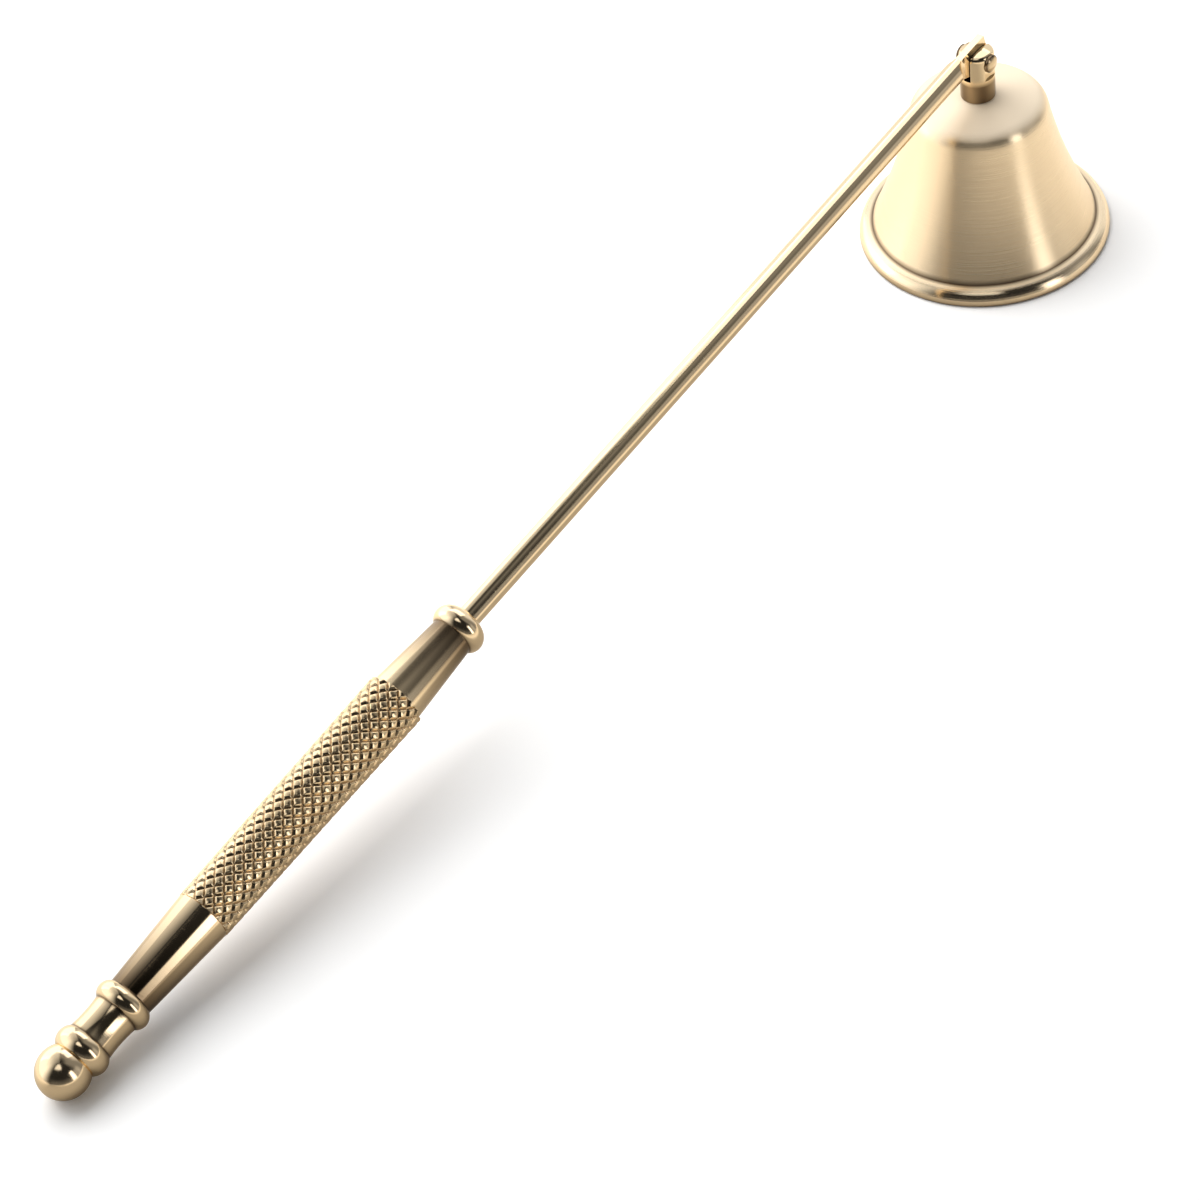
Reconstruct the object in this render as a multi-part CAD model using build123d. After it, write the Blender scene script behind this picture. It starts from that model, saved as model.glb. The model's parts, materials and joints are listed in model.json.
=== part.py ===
"""Candle snuffer: a bell hinged on a fork, with a slim stem and a turned, knurled handle.

The origin is the middle of the footprint, on the surface that the snuffer rests on.
Pieces are drawn about the centre of the bell's mouth: the stem leaves the bell towards -X and
slopes down until the ball end touches that surface. The finished pieces then move along X.
"""
import os
from math import asin, atan, cos, hypot, pi, sin, sqrt

from build123d import *

# Bell (millimetres, radii and heights from the centre of the mouth)
mouth_diameter = 38.0
lip_width = 2.1
lip_height = 2.5
lip_fall = 0.55
lip_nose_radius = 0.9
lip_foot_radius = 0.4
bell_wall = 1.0
skirt_hollow = 0.75
shoulder_diameter = 20.1
shoulder_height = 23.9
shoulder_radius = 3.0
inner_shoulder_radius = 2.0
crown_rise = 1.25
crown_dome = 0.3
seat_margin = 0.35

# Fork on the crown
fork_diameter = 5.2
fork_web = 0.75
eye_room = 0.45
ear_rise = 1.95
fork_dome_height = 0.6
fork_rim_radius = 0.8
cheek_flat_depth = 0.3
fork_edge_chamfer = 0.15

# Screw and washer that hold the fork from inside the bell
screw_diameter = 2.5
screw_grip_length = 2.6
screw_hole_room = 0.5
screw_head_diameter = 4.8
screw_head_height = 1.5
screw_head_bulge = 0.5
screw_slot_width = 0.7
screw_slot_depth = 0.8
screw_clearance = 0.1
washer_diameter = 6.0
washer_thickness = 0.5

# Hinge rivet
rivet_diameter = 1.8
rivet_head_diameter = 2.7
rivet_head_height = 0.85
rivet_head_rim = 0.4
rivet_seat_clearance = 0.01
rivet_running_clearance = 0.05

# Stem
reach = 197.4
stem_diameter = 3.25
stem_lift = 1.7
eye_diameter = 4.3
tongue_thickness = 1.05
tongue_side_clearance = 0.1
tongue_end = 1.75
tongue_length = 5.4
tongue_shoulder_radius = 1.4
tongue_ease = 0.04
tail_engagement = 12.0
tail_room = 0.5
slip_clearance = 0.02

# Handle, from the ball towards the bell
ball_diameter = 7.2
ball_seat_diameter = 6.1
stud_diameter = 3.0
stud_length = 5.0
stud_room = 0.5
end_bead_diameter = 7.6
end_bead_width = 3.0
neck_end_diameter = 6.4
neck_waist_diameter = 6.1
neck_length = 4.8
mid_bead_diameter = 7.8
mid_bead_width = 2.7
rear_taper_length = 13.9
rear_taper_start_diameter = 6.25
rear_taper_end_diameter = 7.7

# Knurled grip: diameters over the lands of the diamonds
grip_rear_diameter = 7.9
grip_front_diameter = 8.5
grip_length = 38.2
diamond_pitch = 1.91
diamond_count_around = 14
knurl_depth = 0.4
land_share = 0.55

# Front ferrule
front_taper_length = 11.65
front_taper_start_diameter = 7.7
front_taper_end_diameter = 6.1
front_bead_diameter = 7.7
front_bead_rise_length = 1.45
front_nose_length = 1.9
front_nose_lip = 0.12

# How far cutting tools run past the material
overrun = 1.0

# Sizes that follow from the values above
mouth_radius = mouth_diameter / 2
foot_radius = mouth_radius - lip_width
corner_radius = shoulder_diameter / 2
crown_height = shoulder_height + crown_rise
skirt_lean = (foot_radius - corner_radius) / (shoulder_height - lip_height)
wall_across = bell_wall / cos(atan(skirt_lean))
fork_radius = fork_diameter / 2
cheek_reach = fork_radius - cheek_flat_depth
eye_radius = eye_diameter / 2
slot_width = tongue_thickness + 2 * tongue_side_clearance
slot_floor = crown_height + screw_grip_length + screw_hole_room + fork_web
pin_height = slot_floor + eye_room + eye_radius
fork_top = pin_height + ear_rise
stem_radius = stem_diameter / 2
stem_bore_radius = stem_radius + slip_clearance
ball_radius = ball_diameter / 2
rest_slope = asin((pin_height - ball_radius) / hypot(reach, stem_lift)) + atan(stem_lift / reach)
ball_place_x = -reach * cos(rest_slope) - stem_lift * sin(rest_slope)
bell_place_x = (ball_radius - ball_place_x - mouth_radius) / 2

# Places along the stem, measured from above the pin towards the ball
ball_seat = reach - sqrt(ball_radius**2 - (ball_seat_diameter / 2) ** 2)
neck_rear = ball_seat - end_bead_width
neck_front = neck_rear - neck_length
rear_taper_start = neck_front - mid_bead_width
grip_rear = rear_taper_start - rear_taper_length
grip_front = grip_rear - grip_length
front_bead_start = grip_front - front_taper_length
front_bead_peak = front_bead_start - front_bead_rise_length
nose_tip = front_bead_peak - front_nose_length
tail_end = grip_rear + tail_engagement

# Whole diamonds that fill the grip, and the length of each
diamond_count_along = round(grip_length / diamond_pitch)
diamond_length = grip_length / diamond_count_along


def stem_place():
    """Placement whose Z runs along the stem's axis, from above the pin, and whose X points up."""
    along = Vector(-cos(rest_slope), 0, -sin(rest_slope))
    upward = Vector(-sin(rest_slope), 0, cos(rest_slope))
    start = Vector(0, 0, pin_height) + upward * stem_lift
    return Plane(origin=start, x_dir=upward, z_dir=along).location


def turned(outline):
    """Solid of revolution about Z from a closed outline of radius and height."""
    return revolve(Plane.XZ * make_face(outline), Axis.Z)


def bored(radius, low, high):
    """Round cutter about Z between two heights."""
    return Pos(0, 0, low) * Cylinder(radius, high - low, align=(Align.CENTER, Align.CENTER, Align.MIN))


def hollow_arc(start, end, depth):
    """Arc whose middle stands off the chord by a depth, to the left of its direction."""
    chord = Vector(*end) - Vector(*start)
    side = Vector(-chord.Y, chord.X) * (depth / chord.length)
    middle = (Vector(*start) + Vector(*end)) * 0.5 + side
    return ThreePointArc(start, middle, end)


def rounded(face, corner, radius):
    """Face with the vertex nearest to a corner rounded."""
    return fillet(face.vertices().sort_by_distance((*corner, 0))[0], radius)


def bell_cup():
    """Thin bell: rolled lip, sloping skirt, rounded shoulder and domed crown with a flat seat."""
    seat_radius = washer_diameter / 2 + seat_margin
    under_crown = crown_height - bell_wall
    inner_top = shoulder_height - bell_wall
    inner_corner = (corner_radius + skirt_lean * bell_wall - wall_across, inner_top)
    inner_mouth = (foot_radius + skirt_lean * lip_height - wall_across, 0)
    hole_radius = screw_diameter / 2 + screw_clearance
    lip_corner = (mouth_radius, lip_height - lip_fall)
    foot = (foot_radius, lip_height)
    shoulder = (corner_radius, shoulder_height)
    section = make_face(
        [
            Line(inner_mouth, (mouth_radius, 0)),
            Line((mouth_radius, 0), lip_corner),
            Line(lip_corner, foot),
            hollow_arc(foot, shoulder, skirt_hollow),
            hollow_arc(shoulder, (seat_radius, crown_height), -crown_dome),
            Line((seat_radius, crown_height), (hole_radius, crown_height)),
            Line((hole_radius, crown_height), (hole_radius, under_crown)),
            Line((hole_radius, under_crown), (seat_radius, under_crown)),
            hollow_arc((seat_radius, under_crown), inner_corner, crown_dome),
            hollow_arc(inner_corner, inner_mouth, -skirt_hollow),
        ]
    )
    section = rounded(section, (mouth_radius, 0), lip_foot_radius)
    section = rounded(section, lip_corner, lip_nose_radius)
    section = rounded(section, shoulder, shoulder_radius)
    section = rounded(section, inner_corner, inner_shoulder_radius)
    return revolve(Plane.XZ * section, Axis.Z)


def hinge_fork():
    """Round post with a domed end, slotted for the tongue and milled flat where the rivet seats."""
    rim = (fork_radius, fork_top - fork_dome_height)
    section = make_face(
        [
            Line((0, crown_height), (fork_radius, crown_height)),
            Line((fork_radius, crown_height), rim),
            TangentArc((0, fork_top), rim, tangent=(1, 0)),
            Line((0, fork_top), (0, crown_height)),
        ]
    )
    body = revolve(Plane.XZ * rounded(section, rim, fork_rim_radius), Axis.Z)
    slot_top = fork_top + overrun
    slot_height = slot_top - slot_floor
    middle_height = (slot_top + slot_floor) / 2
    milled_depth = cheek_flat_depth + overrun
    for side in (-1, 1):
        milled = Box(fork_diameter, milled_depth, slot_height)
        body -= Pos(0, side * (cheek_reach + milled_depth / 2), middle_height) * milled
    body -= Pos(0, 0, middle_height) * Box(fork_diameter + overrun, slot_width, slot_height)
    hole = Cylinder(rivet_diameter / 2 + rivet_seat_clearance, fork_diameter + overrun)
    body -= Pos(0, 0, pin_height) * Rot(90, 0, 0) * hole
    thread_top = crown_height + screw_grip_length + screw_hole_room
    body -= bored(screw_diameter / 2 + rivet_seat_clearance, crown_height - overrun, thread_top)
    foot_edge = body.edges().filter_by(GeomType.CIRCLE).group_by(Axis.Z)[0].sort_by(SortBy.RADIUS)[-1]
    return chamfer(foot_edge, fork_edge_chamfer)


def hinge_rivet():
    """Pin through both ears with a domed head outside each."""
    shank = rivet_diameter / 2
    head = rivet_head_diameter / 2
    rim = cheek_reach + rivet_head_rim
    tip = cheek_reach + rivet_head_height
    half = turned(
        [
            Line((0, 0), (shank, 0)),
            Line((shank, 0), (shank, cheek_reach)),
            Line((shank, cheek_reach), (head, cheek_reach)),
            Line((head, cheek_reach), (head, rim)),
            TangentArc((0, tip), (head, rim), tangent=(1, 0)),
            Line((0, tip), (0, 0)),
        ]
    )
    pin = half + mirror(half, Plane.XY)
    return Pos(0, 0, pin_height) * Rot(90, 0, 0) * pin


def fork_washer():
    """Flat washer between the screw head and the inside of the crown."""
    top = crown_height - bell_wall
    low = top - washer_thickness
    hole = bored(screw_diameter / 2 + screw_clearance, low - overrun, top + overrun)
    return bored(washer_diameter / 2, low, top) - hole


def fork_screw():
    """Slotted pan-head screw, up through the crown into the foot of the fork."""
    shank = screw_diameter / 2
    head = screw_head_diameter / 2
    seat = crown_height - bell_wall - washer_thickness
    rim = seat - screw_head_height + screw_head_bulge
    low = seat - screw_head_height
    tip = crown_height + screw_grip_length
    screw = turned(
        [
            Line((0, low), (0, tip)),
            Line((0, tip), (shank, tip)),
            Line((shank, tip), (shank, seat)),
            Line((shank, seat), (head, seat)),
            Line((head, seat), (head, rim)),
            TangentArc((0, low), (head, rim), tangent=(1, 0)),
        ]
    )
    groove = Box(screw_head_diameter + overrun, screw_slot_width, screw_slot_depth)
    return screw - Pos(0, 0, low + screw_slot_depth / 2) * groove


def stem_rod():
    """Round rod milled to a flat tongue, whose eye for the rivet hangs below the stem's axis."""
    half = tongue_thickness / 2
    edge = sqrt(stem_radius**2 - half**2) - tongue_ease
    outside = stem_radius + overrun
    flat_end = tongue_length - tongue_shoulder_radius
    arc_end = half + tongue_shoulder_radius
    flat = make_face(
        [
            Line((half, flat_end - overrun), (half, flat_end)),
            RadiusArc((half, flat_end), (arc_end, tongue_length), tongue_shoulder_radius),
            Line((arc_end, tongue_length), (outside, tongue_length)),
            Line((outside, tongue_length), (outside, flat_end - overrun)),
            Line((outside, flat_end - overrun), (half, flat_end - overrun)),
        ]
    )
    cheek = extrude(Plane.YZ * flat, amount=outside, both=True)
    rod = bored(stem_radius, flat_end, tail_end) - [cheek, mirror(cheek, Plane.XZ)]
    eye = Pos(-stem_lift, 0) * Circle(eye_radius)
    top = Line((edge, -tongue_end), (edge, tongue_length))
    root = Line((edge, tongue_length), (-edge, tongue_length))
    side = make_hull([*eye.edges(), *top.edges(), *root.edges()])
    rod += extrude(Plane.XZ * side, amount=half, both=True)
    hole = Cylinder(rivet_diameter / 2 + rivet_running_clearance, 2 * outside)
    rod -= Pos(-stem_lift, 0, 0) * Rot(90, 0, 0) * hole
    return stem_place() * rod


def front_ferrule():
    """Tapered collar that ends in a rounded bead where the stem enters the handle."""
    wide = front_taper_start_diameter / 2
    narrow = front_taper_end_diameter / 2
    peak = (front_bead_diameter / 2, front_bead_peak)
    tip = (stem_bore_radius + front_nose_lip, nose_tip)
    collar = turned(
        [
            Line((stem_bore_radius, nose_tip), tip),
            TangentArc(peak, tip, tangent=(0, -1)),
            TangentArc(peak, (narrow, front_bead_start), tangent=(0, 1)),
            Line((narrow, front_bead_start), (wide, grip_front)),
            Line((wide, grip_front), (stem_bore_radius, grip_front)),
            Line((stem_bore_radius, grip_front), (stem_bore_radius, nose_tip)),
        ]
    )
    return stem_place() * collar


def rear_ferrule():
    """Long taper, bead, waisted neck and end bead, bored for the stem's tail and the ball's stud."""
    end_face = ball_seat_diameter / 2
    neck_end = neck_end_diameter / 2
    taper_start = rear_taper_start_diameter / 2
    taper_end = rear_taper_end_diameter / 2
    end_bead = (end_bead_diameter / 2, (ball_seat + neck_rear) / 2)
    neck_waist = (neck_waist_diameter / 2, (neck_rear + neck_front) / 2)
    mid_bead = (mid_bead_diameter / 2, (neck_front + rear_taper_start) / 2)
    collar = turned(
        [
            Line((0, grip_rear), (taper_end, grip_rear)),
            Line((taper_end, grip_rear), (taper_start, rear_taper_start)),
            ThreePointArc((taper_start, rear_taper_start), mid_bead, (neck_end, neck_front)),
            ThreePointArc((neck_end, neck_front), neck_waist, (neck_end, neck_rear)),
            ThreePointArc((neck_end, neck_rear), end_bead, (end_face, ball_seat)),
            Line((end_face, ball_seat), (0, ball_seat)),
            Line((0, ball_seat), (0, grip_rear)),
        ]
    )
    collar -= bored(stem_bore_radius, grip_rear - overrun, tail_end + tail_room)
    stud_bore = stud_diameter / 2 + slip_clearance
    collar -= bored(stud_bore, ball_seat - stud_length - stud_room, ball_seat + overrun)
    return stem_place() * collar


def ball_finial():
    """Ball with a flat seat and a stud that screws into the rear ferrule."""
    seat = ball_seat_diameter / 2
    stud = stud_diameter / 2
    stud_tip = ball_seat - stud_length
    finial = turned(
        [
            Line((0, stud_tip), (stud, stud_tip)),
            Line((stud, stud_tip), (stud, ball_seat)),
            Line((stud, ball_seat), (seat, ball_seat)),
            ThreePointArc((seat, ball_seat), (ball_radius, reach), (0, reach + ball_radius)),
            Line((0, reach + ball_radius), (0, stud_tip)),
        ]
    )
    return stem_place() * finial


def groove_crossing(step, turn):
    """Point on the groove floor, half a diamond along for each step and around for each turn."""
    height = step * diamond_length / 2
    taper = (grip_rear_diameter - grip_front_diameter) / 2 * height / grip_length
    radius = grip_front_diameter / 2 + taper - knurl_depth
    angle = turn * pi / diamond_count_around
    return Vector(radius * cos(angle), radius * sin(angle), height)


def diamond_points(step, turn):
    """Corners of one diamond on the groove floor, its land above them, and the land's middle."""
    middle = groove_crossing(step, turn)
    angle = turn * pi / diamond_count_around
    rise = Vector(cos(angle), sin(angle)) * knurl_depth
    floor = [
        groove_crossing(step + 1, turn),
        groove_crossing(step, turn + 1),
        groove_crossing(step - 1, turn),
        groove_crossing(step, turn - 1),
    ]
    land = [middle + (corner - middle) * land_share + rise for corner in floor]
    return floor, land, middle + rise


def flat_face(*points):
    """Flat face through a ring of points."""
    return Face(Wire.make_polygon(points))


def diamond_faces(step, turn, last):
    """Sloping sides and land of one diamond, or of the half that an end of the sleeve leaves."""
    floor, land, middle = diamond_points(step, turn)
    sides = [(0, 1), (1, 2), (2, 3), (3, 0)]
    lands = [flat_face(land[0], land[1], land[2]), flat_face(land[0], land[2], land[3])]
    if step == 0:
        sides = [(0, 1), (3, 0)]
        lands = [flat_face(middle, land[0], land[1]), flat_face(middle, land[3], land[0])]
    if step == last:
        sides = [(1, 2), (2, 3)]
        lands = [flat_face(middle, land[1], land[2]), flat_face(middle, land[2], land[3])]
    slopes = [flat_face(floor[a], floor[b], land[b], land[a]) for a, b in sides]
    return slopes + lands


def sleeve_end(step):
    """Flat end of the sleeve, cut through the middles of a ring of diamonds."""
    ring = []
    for turn in range(0, 2 * diamond_count_around, 2):
        floor, land, middle = diamond_points(step, turn)
        ring += [floor[3], land[3], middle, land[1]]
    return flat_face(*ring)


def knurled_grip():
    """Sleeve with a diamond knurl: lands that stand between two families of crossing grooves."""
    last = 2 * diamond_count_along
    faces = [sleeve_end(0), sleeve_end(last)]
    for step in range(last + 1):
        for turn in range(step % 2, 2 * diamond_count_around, 2):
            faces += diamond_faces(step, turn, last)
    sleeve = Solid(Shell(faces))
    sleeve -= bored(stem_bore_radius, -overrun, grip_length + overrun)
    return stem_place() * Pos(0, 0, grip_front) * sleeve


pieces = [
    bell_cup,
    hinge_fork,
    fork_screw,
    fork_washer,
    hinge_rivet,
    stem_rod,
    front_ferrule,
    knurled_grip,
    rear_ferrule,
    ball_finial,
]

os.makedirs("parts", exist_ok=True)
for piece in pieces:
    export_step(Pos(bell_place_x, 0, 0) * piece(), f"parts/{piece.__name__}.step")
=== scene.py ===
"""Looks of the candle snuffer: turned champagne-gold metal, a knurled grip and soft studio light."""

import json
from math import asin, atan, atan2, cos, exp, hypot, pi, radians, sin, sqrt, tan, tau

import bmesh
import bpy
from mathutils import Matrix, Vector
from mathutils.geometry import convex_hull_2d


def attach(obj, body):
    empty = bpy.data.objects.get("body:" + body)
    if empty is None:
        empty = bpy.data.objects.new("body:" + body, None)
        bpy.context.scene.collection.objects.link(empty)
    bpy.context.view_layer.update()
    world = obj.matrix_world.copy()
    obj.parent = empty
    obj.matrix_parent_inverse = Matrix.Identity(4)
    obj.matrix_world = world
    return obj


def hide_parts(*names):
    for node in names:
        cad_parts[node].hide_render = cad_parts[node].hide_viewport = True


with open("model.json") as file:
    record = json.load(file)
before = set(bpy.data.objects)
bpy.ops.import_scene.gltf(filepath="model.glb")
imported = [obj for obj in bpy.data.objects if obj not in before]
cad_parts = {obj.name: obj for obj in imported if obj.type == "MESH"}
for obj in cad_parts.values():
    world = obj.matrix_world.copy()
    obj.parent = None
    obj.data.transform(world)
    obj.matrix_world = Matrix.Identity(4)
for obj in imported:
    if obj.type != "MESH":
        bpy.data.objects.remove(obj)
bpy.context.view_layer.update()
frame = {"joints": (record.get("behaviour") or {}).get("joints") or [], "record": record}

# Sizes in millimetres, the same as the CAD's but for a rounder lip
MM = 0.001
mouth_radius = 19.0
lip_width = 2.1
lip_height = 2.5
lip_fall = 0.55
lip_nose_radius = 2.0
lip_foot_radius = 0.4
crease_radius = 0.12
rim_land = 0.5
bell_wall = 1.0
skirt_hollow = 0.75
shoulder_place = Vector((10.05, 23.9))
shoulder_radius = 3.0
inner_shoulder_radius = 2.0
crown_height = 25.15
crown_dome = 0.3
seat_radius = 3.35
seat_blend_radius = 0.5
fork_radius = 2.6
fork_dome_height = 0.6
fork_rim_radius = 0.8
fork_foot_radius = 0.15
ear_rise = 1.95
cheek_reach = 2.3
slot_floor = 29.0
slot_width = 1.25
# Painted dark reflection on the fork below its slot, streaked around the post
dark_reflection_gap = 0.15
dark_reflection_fade = 0.75
dark_reflection_streaks = 5
dark_reflection_streak_depth = 0.12
pin_room = 0.01
screw_radius = 1.25
screw_grip_length = 2.6
screw_hole_room = 0.5
screw_head_radius = 2.4
screw_head_height = 1.5
screw_head_bulge = 0.5
screw_head_edge = 0.2
screw_slot_width = 0.7
screw_slot_depth = 0.8
screw_hole_radius = 1.35
washer_radius = 3.0
washer_thickness = 0.5
washer_edge = 0.1
washer_top_edge = 0.05
rivet_radius = 0.9
rivet_head_radius = 1.35
rivet_head_height = 0.85
rivet_head_rim = 0.4
rivet_head_edge = 0.1
reach = 197.4
stem_radius = 1.625
stem_bore_radius = 1.645
stem_lift = 1.7
eye_radius = 2.15
eye_bore_radius = 0.95
tongue_thickness = 1.05
tongue_end = 1.75
tongue_length = 5.4
tongue_shoulder_radius = 1.4
tongue_edge = 1.498
ball_radius = 3.6
ball_seat_radius = 3.05
stud_radius = 1.5
stud_bore_radius = 1.52
stud_length = 5.0
bore_room = 0.5
end_bead_radius = 3.8
end_bead_width = 3.0
neck_end_radius = 3.2
neck_waist_radius = 3.05
neck_length = 4.8
mid_bead_radius = 3.9
mid_bead_width = 2.7
rear_taper_length = 13.9
rear_taper_start_radius = 3.125
rear_taper_end_radius = 3.85
tail_engagement = 12.0
grip_length = 38.2
grip_front_radius = 4.25
grip_rear_radius = 3.95
diamonds_around = 14
diamonds_along = 20
knurl_depth = 0.4
front_taper_length = 11.65
front_taper_start_radius = 3.85
front_taper_end_radius = 3.05
front_bead_radius = 3.85
front_bead_rise_length = 1.45
front_nose_length = 1.9
front_nose_lip = 0.12
front_nose_edge = 0.05
ferrule_edge = 0.1
bead_crease_radius = 0.08

# Places along the stem, from above the pin towards the ball
ball_seat = reach - sqrt(ball_radius**2 - ball_seat_radius**2)
neck_rear = ball_seat - end_bead_width
neck_front = neck_rear - neck_length
rear_taper_start = neck_front - mid_bead_width
grip_rear = rear_taper_start - rear_taper_length
grip_front = grip_rear - grip_length
front_bead_start = grip_front - front_taper_length
front_bead_peak = front_bead_start - front_bead_rise_length
nose_tip = front_bead_peak - front_nose_length
tail_end = grip_rear + tail_engagement

# Placements: the bell stands upright under the pin, the stem slopes down to the ball
pin = Vector(frame["joints"][0]["pos_m"]) / MM
pin_height = pin.z
fork_top = pin_height + ear_rise
bell_place = Matrix.Translation((pin.x, 0, 0))
pin_place = Matrix.Translation(pin) @ Matrix.Rotation(pi / 2, 4, "X")
rest_slope = asin((pin_height - ball_radius) / hypot(reach, stem_lift)) + atan(stem_lift / reach)
along = Vector((-cos(rest_slope), 0, -sin(rest_slope)))
upward = Vector((-sin(rest_slope), 0, cos(rest_slope)))
stem_turn = Matrix((upward, (0, 1, 0), along)).transposed().to_4x4()
stem_place = Matrix.Translation(pin + upward * stem_lift) @ stem_turn


# Profiles of turned pieces, as points of radius and height

def bowed(start, end, depth=0.0, steps=16):
    """Arc whose middle stands off the chord by a depth, to the left of its direction."""
    start, end = Vector(start), Vector(end)
    if depth == 0:
        return [start, end]
    chord = (end - start).normalized()
    side = Vector((-chord.y, chord.x))
    half = (end - start).length / 2
    radius = (half**2 + depth**2) / (2 * depth)
    spread = 2 * atan(depth / half)
    centre = (start + end) / 2 + side * (depth - radius)
    turns = [spread * (2 * step / steps - 1) for step in range(steps + 1)]
    return [centre + side * radius * cos(turn) + chord * radius * sin(turn) for turn in turns]


def leaving(start, end, direction, steps=16):
    """Arc that leaves its start in a direction."""
    chord = Vector(end) - Vector(start)
    bend = Vector(direction).angle_signed(chord)
    return bowed(start, end, chord.length / 2 * tan(bend / 2), steps)


def through(start, middle, end, steps=16):
    """Arc through three points."""
    start, middle, end = Vector(start), Vector(middle), Vector(end)
    chord = (end - start).normalized()
    side = Vector((-chord.y, chord.x))
    half = (end - start).length / 2
    offset = middle - (start + end) / 2
    rise, run = offset.dot(side), offset.dot(chord)
    centre = (rise**2 + run**2 - half**2) / (2 * rise)
    radius = hypot(half, centre)
    return bowed(start, end, centre + (radius if rise > 0 else -radius), steps)


def shortened(points, length):
    """Path with a length taken off its end."""
    points = list(points)
    while (points[-1] - points[-2]).length < length:
        length -= (points[-1] - points[-2]).length
        points.pop()
    points[-1] = points[-1] + (points[-2] - points[-1]).normalized() * length
    return points


def rounded(before, after, radius, steps=8):
    """Two paths joined end to end, their corner rounded."""
    turn = (before[-1] - before[-2]).angle(after[1] - after[0])
    before = shortened(before, radius * tan(turn / 2))
    after = shortened(after[::-1], radius * tan(turn / 2))[::-1]
    start, end = before[-1], after[0]
    handle = 4 / 3 * tan(turn / 4) * radius
    leave = start + (before[-1] - before[-2]).normalized() * handle
    arrive = end - (after[1] - after[0]).normalized() * handle
    corner = []
    for step in range(1, steps):
        share = step / steps
        rest = 1 - share
        near_start = start * rest**3 + leave * (3 * share * rest**2)
        near_end = arrive * (3 * share**2 * rest) + end * share**3
        corner.append(near_start + near_end)
    return before + corner + after


def profile(*stretches):
    """Stretches joined end to end. A number between two of them rounds their corner."""
    path = list(stretches[0])
    radius = 0.0
    for stretch in stretches[1:]:
        if isinstance(stretch, float):
            radius = stretch
            continue
        path = rounded(path, stretch, radius) if radius else path + stretch[1:]
        radius = 0.0
    return path


def held(points, hold):
    """Profile with a point close to both ends of each long stretch, to keep its shading crisp."""
    path = [points[0]]
    for before, after in zip(points, points[1:]):
        if (after - before).length > 4 * hold:
            step = (after - before).normalized() * hold
            path += [before + step, after - step]
        path.append(after)
    return path


# Crease depths of a profile, which the materials darken as painted shade
def recessed(points, lengths, reach_mm=0.16, full_turn=0.5):
    """How deep each point of a profile lies in a corner, from the inward turns close to it."""
    corners = []
    for index in range(1, len(points) - 1):
        turn = (points[index] - points[index - 1]).angle_signed(points[index + 1] - points[index])
        if turn > 0:
            corners.append((lengths[index], turn / full_turn))
    depths = []
    for length in lengths:
        depth = sum(turn * exp(-abs(length - place) / reach_mm) for place, turn in corners)
        depths.append(min(1.0, depth))
    return depths


def turned(points, segments=144, hold=0.06):
    """Closed shell turned about Z: a profile between two points on the axis, or a ring of points."""
    points = held(points, hold)
    shell = bmesh.new()
    layer = shell.loops.layers.uv.new("turned")
    # Crease depth at each point, darkened as painted shade by the materials
    painted_shade = shell.verts.layers.float.new("painted_shade")
    rings, lengths = [], [0.0]
    for index, point in enumerate(points):
        if index:
            lengths.append(lengths[-1] + (point - points[index - 1]).length)
        if point.x < 1e-6:
            rings.append([shell.verts.new((0, 0, point.y))])
            continue
        turns = [tau * side / segments for side in range(segments)]
        rings.append([shell.verts.new((point.x * cos(a), point.x * sin(a), point.y)) for a in turns])
    for ring, depth in zip(rings, recessed(points, lengths)):
        for vert in ring:
            vert[painted_shade] = depth
    is_ring = len(rings[0]) > 1
    if is_ring:
        for vert in rings.pop():
            shell.verts.remove(vert)
    for low in range(len(points) - 1):
        high = (low + 1) % len(rings)
        for side in range(segments):
            corners = []
            for ring, length, turn in (
                (low, low, side), (low, low, side + 1), (high, low + 1, side + 1), (high, low + 1, side)
            ):
                verts = rings[ring]
                corners.append((verts[turn % len(verts)], turn / segments, lengths[length]))
            if len(rings[low]) == 1:
                corners.pop(1)
            elif len(rings[high]) == 1:
                corners.pop(2)
            face = shell.faces.new([corner[0] for corner in corners])
            for loop, corner in zip(face.loops, corners):
                loop[layer].uv = corner[1:]
    bmesh.ops.recalc_face_normals(shell, faces=shell.faces)
    return shell


# Solid tools for milled shapes, with the edges that stay crisp and the cuts' slivers that go

milled_hold = 0.3
crisp_angle = radians(28)
merge_distance = 0.004
sliver_length = 0.002


def block(low, high):
    """Box between two corners."""
    low, high = Vector(low), Vector(high)
    shell = bmesh.new()
    bmesh.ops.create_cube(shell, size=1)
    bmesh.ops.scale(shell, verts=shell.verts, vec=high - low)
    bmesh.ops.translate(shell, verts=shell.verts, vec=(low + high) / 2)
    return shell


def plate(outline, half):
    """Outline of X and Z, made solid by a half thickness to both sides of Y."""
    shell = bmesh.new()
    near = [shell.verts.new((x, -half, z)) for x, z in outline]
    far = [shell.verts.new((x, half, z)) for x, z in outline]
    shell.faces.new(near)
    shell.faces.new(far[::-1])
    for index in range(len(outline)):
        shell.faces.new((near[index - 1], near[index], far[index], far[index - 1]))
    bmesh.ops.recalc_face_normals(shell, faces=shell.faces)
    return shell


def rod(radius, *heights, segments=64):
    """Plain round rod about Z, with a ring of points at each height."""
    sides = [bowed((radius, low), (radius, high)) for low, high in zip(heights, heights[1:])]
    first = bowed((0, heights[0]), (radius, heights[0]))
    last = bowed((radius, heights[-1]), (0, heights[-1]))
    return turned(profile(first, *sides, last), segments, milled_hold)


def moved(shell, matrix):
    """Shape moved by a matrix."""
    shell.transform(matrix)
    return shell


def loose(shell, name):
    """Scratch object that holds a shape while it is worked on."""
    mesh = bpy.data.meshes.new(name)
    shell.to_mesh(mesh)
    shell.free()
    thing = bpy.data.objects.new(name, mesh)
    bpy.context.scene.collection.objects.link(thing)
    return thing


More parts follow.
